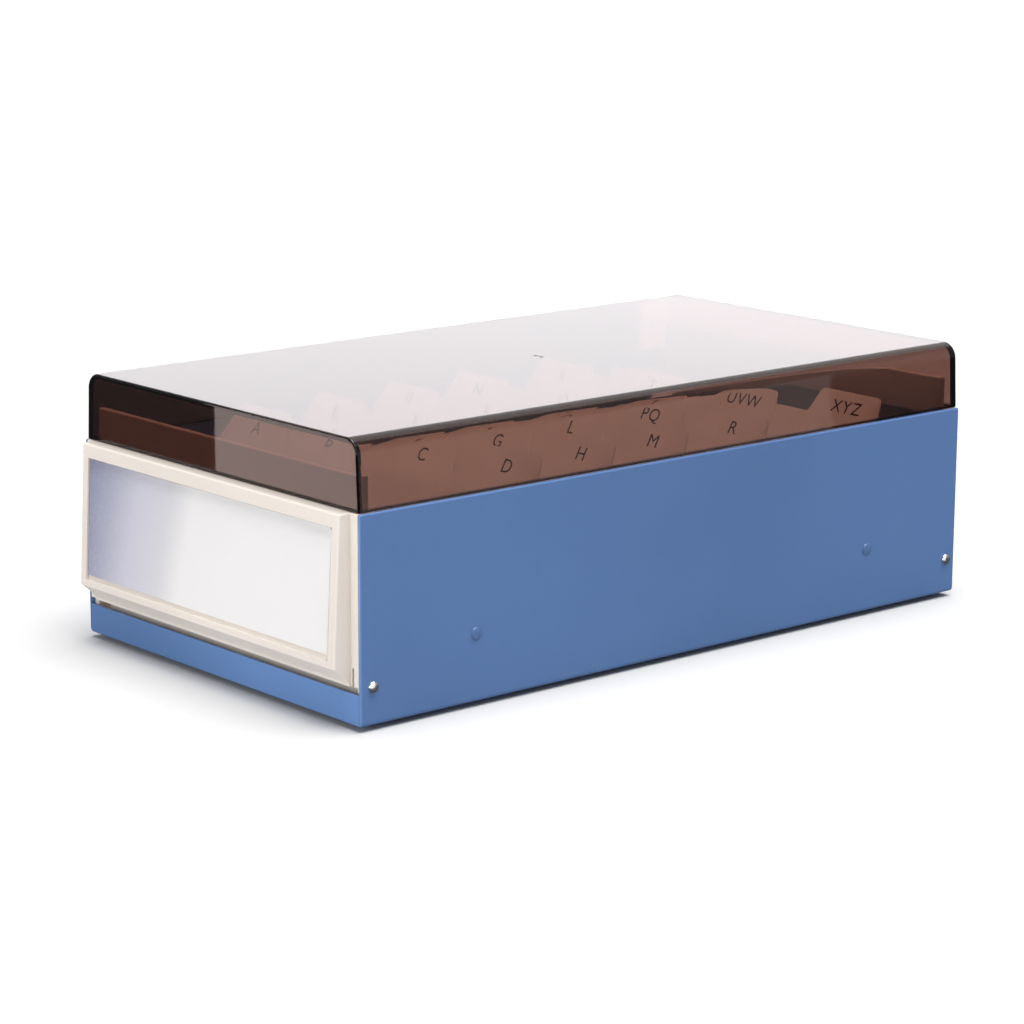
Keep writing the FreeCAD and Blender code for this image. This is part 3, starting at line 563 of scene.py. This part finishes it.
def make_lid():
    out = lid_block(63.2, 62.2, 58.6, 78.0, 114.2, 4.4, 0.7, 12, 4)
    inn = lid_block(61.85, 60.9, 58.6, 76.5, 112.3, 3.1, 0.4, 12, 3)
    bmesh.ops.reverse_faces(inn, faces=inn.faces)
    bm = merge([out, inn])
    bmesh.ops.bridge_loops(bm, edges=[e for e in bm.edges if e.is_boundary])
    bmesh.ops.recalc_face_normals(bm, faces=bm.faces)
    for outer, size in ((True, 0.35), (False, 0.25)):
        rim = [e for e in bm.edges if all(abs(p.co.z - 58.6 * MM) < 1e-6 for p in e.verts)
               and e.calc_face_angle(0.0) > 0.8
               and all((abs(p.co.x) > 62.4 * MM or abs(p.co.y) > 113.3 * MM) == outer
                       for p in e.verts)]
        bmesh.ops.bevel(bm, geom=rim, offset=size * MM, offset_type="OFFSET", segments=4,
                        profile=0.5, affect="EDGES", clamp_overlap=True)
    # hinge lugs, each an arm rising into the rear wall and an eye around the pin
    tools = []
    for side in (1, -1):
        a, b = (34.0, 46.0) if side > 0 else (-46.0, -34.0)
        eye = [(117.6 + 2.5 * math.cos(t), 58.5 + 2.5 * math.sin(t))
               for t in (2 * math.pi * k / 48 for k in range(48))]
        # outline of arm and eye together, walked round the eye's far side
        arc = [(117.6 + 2.5 * math.cos(t), 58.5 + 2.5 * math.sin(t))
               for t in (math.radians(90 - 190.0 * k / 30) for k in range(31))]
        lug = [(113.2, 65.5), (115.0, 64.6)] + arc + [(115.4, 58.8), (113.2, 58.8)]
        tools.append(("UNION", prism(lug, "X", a, b)))
    for side in (1, -1):
        a, b = (33.0, 47.0) if side > 0 else (-47.0, -33.0)
        bore = [(117.6 + 1.06 * math.cos(t), 58.5 + 1.06 * math.sin(t))
                for t in (2 * math.pi * k / 32 for k in range(32))]
        tools.append(("DIFFERENCE", prism(bore, "X", a, b)))
    # gate mark: two tiny cups in the middle of the top
    for dx in (-1.25, 1.25):
        tools.append(("DIFFERENCE", lathe([(-0.5, 0), (-0.5, 0.45), (-0.3, 0.62), (0.3, 0.78),
                                           (0.3, 0)], (dx - 0.4, 2.0, 78.0), (0, 0, 1), 24)))
    me = combine(bm, tools, "lid_work")
    return new_piece("lid_moulding", me, "lid", "lid", [M_SMOKE], 28.0)


LID = make_lid()

# ============================================================ index guides
NAMES = ["a", "b", "c", "d", "e", "f", "g", "h", "ij", "k", "l", "m", "n", "o", "pq", "r",
         "s", "t", "uvw", "xyz"]
STAND = [-99.5, -94.5, -86.5, -79.5, -71.5, -64.5, -58.5, -52.5, -44.5, -37.5, -30.0, -25.0,
         -17.0, -8.0, 0.5, 6.5, 17.5, 28.5, 39.5, 54.0]
LEAN = math.radians(30.0)


def letters(text, height):
    """Flat outline of a printed heading as a thin closed mesh, centred at 0."""
    c = bpy.data.curves.new("letters", "FONT")
    c.body = text
    c.size = height * 1.42 * MM
    c.align_x = "CENTER"
    c.align_y = "CENTER"
    c.space_character = 1.12
    c.offset = 0.0
    c.resolution_u = 4
    c.extrude = 0.012 * MM
    c.fill_mode = "BOTH"
    o = bpy.data.objects.new("letters", c)
    col.objects.link(o)
    me = baked(o)
    bpy.data.curves.remove(c)
    bm = to_bm(me)
    bpy.data.meshes.remove(me)
    bmesh.ops.remove_doubles(bm, verts=bm.verts, dist=1e-6)
    lo = Vector((min(v.co.x for v in bm.verts), min(v.co.y for v in bm.verts), 0))
    hi = Vector((max(v.co.x for v in bm.verts), max(v.co.y for v in bm.verts), 0))
    bmesh.ops.translate(bm, verts=bm.verts, vec=-(lo + hi) / 2)
    return bm


def make_guide(i, nm):
    gw, gh, tab = 116.0, 59.0, 8.0
    cx = gw * ((i % 4 + 0.5) / 4.0 - 0.5)
    hb, ht = 27.4 / 2, 23.6 / 2
    left, right = i % 4 == 0, i % 4 == 3
    pts = [(-gw / 2, 0), (gw / 2, 0)]
    rad = [1.2, 1.2]
    if right:
        pts += [(gw / 2, gh - 0.3), (cx + hb, gh)]
        rad += [0.3, 0.6]
    else:
        pts += [(gw / 2, gh), (cx + hb + 0.4, gh)]
        rad += [2.2, 1.4]
    pts += [(cx + ht, gh + tab), (cx - ht, gh + tab)]
    rad += [2.0, 2.0]
    if left:
        pts += [(cx - hb, gh), (-gw / 2, gh - 0.3)]
        rad += [0.6, 0.3]
    else:
        pts += [(cx - hb - 0.4, gh), (-gw / 2, gh)]
        rad += [1.4, 2.2]
    outline = rounded(pts, rad, 5)
    bm = bmesh.new()
    face = bm.faces.new([bm.verts.new(Vector((x, y, 0)) * MM) for x, y in outline])
    for k in range(1, 15):
        bmesh.ops.bisect_plane(bm, geom=bm.verts[:] + bm.edges[:] + bm.faces[:],
                               plane_co=(gw * (k / 15.0 - 0.5) * MM, 0, 0), plane_no=(1, 0, 0))
    for k in range(1, 7):
        bmesh.ops.bisect_plane(bm, geom=bm.verts[:] + bm.edges[:] + bm.faces[:],
                               plane_co=(0, 10.0 * k * MM, 0), plane_no=(0, 1, 0))
    bmesh.ops.recalc_face_normals(bm, faces=bm.faces)
    back = bmesh.ops.extrude_face_region(bm, geom=bm.faces[:])
    bmesh.ops.translate(bm, verts=[g for g in back["geom"] if isinstance(g, bmesh.types.BMVert)],
                        vec=(0, 0, -0.42 * MM))
    bmesh.ops.translate(bm, verts=bm.verts, vec=(0, 0, 0.21 * MM))
    bmesh.ops.recalc_face_normals(bm, faces=bm.faces)
    for f in bm.faces:
        f.material_index = 0
    txt = letters(nm.upper(), 4.0)
    bmesh.ops.translate(txt, verts=txt.verts,
                        vec=Vector((cx, gh + 3.2, 0.21 + 0.008)) * MM)
    for f in txt.faces:
        f.material_index = 1
    bm = merge([bm, txt])
    # the sheet is never quite flat: a slow bow, a slight twist and a soft tab
    rnd = random.Random(100 + i)
    bow, twist = rnd.uniform(-0.5, 0.5), rnd.uniform(-0.35, 0.35)
    curl = rnd.uniform(-0.35, 0.45)
    for v in bm.verts:
        u, w = v.co.x / (gw / 2 * MM), v.co.y / (gh * MM)
        lift = bow * (1 - u * u) * w + twist * u * w + curl * max(0.0, w - 0.75) * 2.0
        v.co.z += lift * MM
    m = Matrix.Translation(Vector((1.2, STAND[i], 5.35)) * MM) @ \
        Matrix.Rotation(-LEAN, 4, "X") @ Matrix.Rotation(math.pi / 2, 4, "X")
    bm.transform(m)
    return new_piece("index_guide_" + nm, bm, "guide_" + nm, "guide_" + nm,
                     [M_GUIDE, M_INK], 40.0, weighted=False)


for i, nm in enumerate(NAMES):
    make_guide(i, nm)


# ================================================================== rivets
def dome(r, h, rim, n=10):
    """Half outline of a low domed head from its rim to its crown."""
    pts = [(0.0, r - 0.04), (rim * 0.5, r)]
    for k in range(n + 1):
        a = math.pi / 2 * k / n
        pts.append((rim + (h - rim) * math.sin(a), r * math.cos(a) ** 0.82 if k < n else 0.0))
    return pts


RIVETS = []
HEADS = []


def make_rivets():
    for end, label in ((-1, "front"), (1, "rear")):
        parts = []
        for side in (1, -1):
            shank = [(-4.7, 0), (-4.7, 1.0), (-4.35, 1.6), (-4.0, 1.7), (-4.0, 1.0), (0, 1.0)]
            parts.append(lathe(shank + dome(1.65, 0.95, 0.22),
                               (64.0 * side, 110.5 * end, 12.0), (side, 0, 0), 48))
        RIVETS.append(new_piece("pivot_rivets_" + label, merge(parts), "root",
                                label + "_pivot_rivets", [M_STEEL], 40.0))
        parts = []
        for side in (1, -1):
            x0 = 61.0 - 0.2 - 0.8 if side > 0 else -(61.0 - 0.2)
            ring = [(0, 1.04), (0, 1.65), (0.12, 1.75), (0.68, 1.75), (0.8, 1.65), (0.8, 1.04),
                    (0, 1.04)]
            b = lathe(ring, (x0, 110.5 * end, 12.0), (1, 0, 0), 40)
            bmesh.ops.remove_doubles(b, verts=b.verts, dist=1e-7)
            bmesh.ops.recalc_face_normals(b, faces=b.faces)
            parts.append(b)
        new_piece("pivot_washers_" + label, merge(parts), "root", label + "_pivot_washers",
                  [M_STEEL], 40.0)
    parts = []
    for side in (1, -1):
        for end in (-1, 1):
            tail = [(-2.2, 0), (-2.2, 1.3), (-1.95, 1.7), (-1.65, 1.8), (-1.65, 1.2), (0, 1.2)]
            parts.append(lathe(tail + dome(1.8, 0.55, 0.1), (64.0 * side, 75.5 * end, 20.5),
                               (side, 0, 0), 48))
    HEADS.append(new_piece("bed_rivet_heads", merge(parts), "root", "bed_rivets",
                           [M_HEAD], 40.0))


make_rivets()

# ================================================== remaining CAD-led pieces
PIECES = {}
for node, body_name, slot_name, mt, arris, name in (
        ("body_shell", "root", "blue_steel", M_BLUE, 0.14, "trough_shell"),
        ("card_bed", "root", "bed_steel", M_BED, 0.14, "card_bed_channel"),
        ("front_panel", "front_panel", "cream_plastic", M_CREAM, 0.22, "front_moulding"),
        ("rear_panel", "root", "cream_plastic", M_CREAM, 0.22, "rear_moulding"),
        ("card_stop_plate", "card_stop", "blue_steel", M_BLUE, 0.2, "card_stop_sheet"),
        ("card_stop_slider", "card_stop", "nylon", M_NYLON, 0.2, "card_stop_shoe"),
        ("card_stop_rivets", "card_stop", "bright_steel", M_STEEL, 0.15, "card_stop_rivet_heads"),
        ("hinge_pins", "root", "bright_steel", M_STEEL, 0.15, "hinge_pin_set"),
        ("rubber_feet", "root", "foot_rubber", M_RUBBER, 0.4, "rubber_foot_set"),
        ("label_window", "front_panel", "clear_cover", M_COVER, 0.25, "label_cover")):
    PIECES[name] = new_piece(name, soften(from_cad(node), arris), body_name, node,
                             [mt], 40.0)



def make_label():
    """The label card, cut a little small, so the holder shows at two of its edges."""
    bm = from_cad("label_card")
    right = max(v.co.x for v in bm.verts)
    foot = min(v.co.z for v in bm.verts)
    for v in bm.verts:
        if v.co.x > right - 2 * MM:
            v.co.x = min(v.co.x, LABEL_RIGHT * MM)
        if v.co.z < foot + 2 * MM:
            v.co.z += LABEL_LIFT * MM
    return new_piece("label_card_sheet", soften(bm, 0.05), "front_panel", "label_card",
                     [M_LABEL], 40.0)


LABEL_RIGHT, LABEL_LIFT = 55.9, 1.1
make_label()


# ============================================================ floor, lights
def floor():
    bm = bmesh.new()
    s = 6.0
    n = 12
    vs = [[bm.verts.new((-s + 2 * s * i / n, -s + 2 * s * j / n, 0.0)) for j in range(n + 1)]
          for i in range(n + 1)]
    for i in range(n):
        for j in range(n):
            bm.faces.new((vs[i][j], vs[i + 1][j], vs[i + 1][j + 1], vs[i][j + 1]))
    me = bpy.data.meshes.new("studio_floor")
    bm.to_mesh(me)
    bm.free()
    m = Nodes("studio_floor")
    p = m.principled(Roughness=0.9, Specular_IOR_Level=0.0)
    m.link(m.ramp(m.noise(2.0), [(0.3, (0.610, 0.610, 0.612)), (0.7, (0.620, 0.620, 0.622))]),
           p.inputs["Base Color"])
    me.materials.append(m.surface(p.outputs["BSDF"]))
    o = bpy.data.objects.new("studio_floor", me)
    col.objects.link(o)
    o.visible_glossy = False
    o.visible_transmission = False


floor()


def keep_to(lamp, pieces):
    """Limits a lamp to the named pieces, as a flag next to it would."""
    group = bpy.data.collections.new(lamp.name + "_on")
    for piece in pieces:
        group.objects.link(piece)
    lamp.light_linking.receiver_collection = group


def softbox(name, at, look, wide, high, radiance, color=(1, 1, 1)):
    """Rectangular soft light of a given brightness as seen, facing a point."""
    d = bpy.data.lights.new(name, "AREA")
    d.shape = "RECTANGLE"
    d.size, d.size_y = wide, high
    d.energy = radiance * math.pi * wide * high
    d.color = color
    o = bpy.data.objects.new(name, d)
    direction = Vector(look) - Vector(at)
    o.rotation_euler = direction.to_track_quat("-Z", "Y").to_euler()
    o.location = at
    o.visible_camera = False
    col.objects.link(o)
    return o


def lamp_card(name, at, facing, wide, high, radiance, color=(1, 1, 1), only=None,
              through=False):
    """A soft white card that is only there for reflections, or to be seen through
    the clear lid.  With only, it is kept to the named pieces."""
    o = softbox(name, at, Vector(at) + Vector(facing), wide, high, radiance, color)
    o.visible_diffuse = False
    o.visible_glossy = not through
    o.visible_transmission = through
    o.visible_volume_scatter = False
    if only:
        keep_to(o, only)
    return o


# pale surroundings above the table, dark below its level
world = bpy.data.worlds.new("studio")
world.use_nodes = True
wt = world.node_tree
sky = wt.nodes["Background"]
where = wt.nodes.new("ShaderNodeTexCoord")
part = wt.nodes.new("ShaderNodeSeparateXYZ")
rise = wt.nodes.new("ShaderNodeValToRGB")
rise.color_ramp.elements[0].position = 0.485
rise.color_ramp.elements[0].color = (0.28, 0.285, 0.30, 1.0)
rise.color_ramp.elements[1].position = 0.505
rise.color_ramp.elements[1].color = (0.93, 0.95, 1.0, 1.0)
half = wt.nodes.new("ShaderNodeMath")
half.operation = "MULTIPLY_ADD"
half.inputs[1].default_value = 0.5
half.inputs[2].default_value = 0.5
wt.links.new(where.outputs["Generated"], part.inputs["Vector"])
wt.links.new(part.outputs["Z"], half.inputs[0])
wt.links.new(half.outputs[0], rise.inputs["Fac"])
wt.links.new(rise.outputs["Color"], sky.inputs[0])
sky.inputs[1].default_value = 0.32
scene.world = world

# broad overhead light, a little to the right and behind
sun = bpy.data.lights.new("overhead", "SUN")
sun.energy = 4.6
sun.angle = math.radians(55.0)
sun.color = (1.0, 0.99, 0.975)
over = bpy.data.objects.new("overhead", sun)
over.rotation_euler = Vector((-0.15, -0.10, -1.0)).to_track_quat("-Z", "Y").to_euler()
col.objects.link(over)

# soft box in front, low down, for the label and the front lip
softbox("front_box", (0.10, -0.80, 0.17), (0.02, -0.1145, 0.03), 0.50, 0.36, 3.7,
        (1.0, 0.99, 0.97))
# small box close to the front lip
keep_to(softbox("lip_box", (0.035, -0.20, 0.02), (0.035, -0.11, 0.012), 0.05, 0.03, 8.0,
                (1.0, 0.90, 0.80)), [PIECES["trough_shell"]])
# bright wall far behind the case, whose reflection whitens the lid's top
lamp_card("back_card", (-3.25, 2.78, 0.86), (0.76, -0.65, -0.19), 3.2, 1.35, 1.75,
          (1.0, 0.965, 0.985))
# dimmer ceiling above it, seen in the lid's rounded long edges
lamp_card("ceiling_card", (-1.35, 1.45, 1.85), (0.49, -0.53, -0.69), 3.4, 2.2, 0.8,
          (1.0, 0.93, 0.89), [LID])
# a dimmer one on the camera's side, seen in the lid's top from behind
lamp_card("ceiling_card_front", (1.35, -1.45, 1.85), (-0.49, 0.53, -0.69), 3.4, 2.2, 0.55,
          (1.0, 0.95, 0.92), [LID])
# cards standing close to the front and the right, seen in the lid's walls
lamp_card("front_card", (-0.0718, -0.238, 0.0635), (0.818, 0.575, 0.0), 0.12, 0.12, 2.45,
          (1.0, 0.82, 0.78), [LID])
for part, reach in (("near", 0.14), ("far", 0.19)):
    lamp_card("right_card_" + part, (0.19, (reach - 0.09) / 2, 0.055), (-1.0, 0.0, 0.0),
              reach + 0.09, 0.10, 0.55, (1.0, 0.98, 0.98), [LID])
# pale wall seen through the rear of the lid, above the rear panel
lamp_card("rear_card", (-0.03, 0.19, 0.055), (0.0, -1.0, 0.0), 0.26, 0.10, 1.3,
          (1.0, 1.0, 1.0), [LID], through=True)
# broad card to the right that lights up the plated rivet heads
lamp_card("rivet_card", (0.75, -0.25, 0.30), (-1.0, 0.15, -0.25), 1.6, 1.1, 0.95,
          (1.0, 1.0, 1.0), RIVETS)
# cards overhead that pick out the low painted rivet heads on the two sides
for side in (1, -1):
    lamp_card("head_card_" + ("right" if side > 0 else "left"), (0.26 * side, 0.0, 0.60),
              (-0.33 * side, 0.0, -0.94), 0.30, 0.40, 15.0, (0.95, 0.98, 1.0), HEADS)

scene.view_settings.view_transform = "Standard"
scene.view_settings.look = "None"
scene.view_settings.exposure = 0.0
scene.view_settings.gamma = 1.0
scene.cycles.use_denoising = True
scene.cycles.transparent_max_bounces = 24
scene.cycles.max_bounces = 16
scene.cycles.transmission_bounces = 14
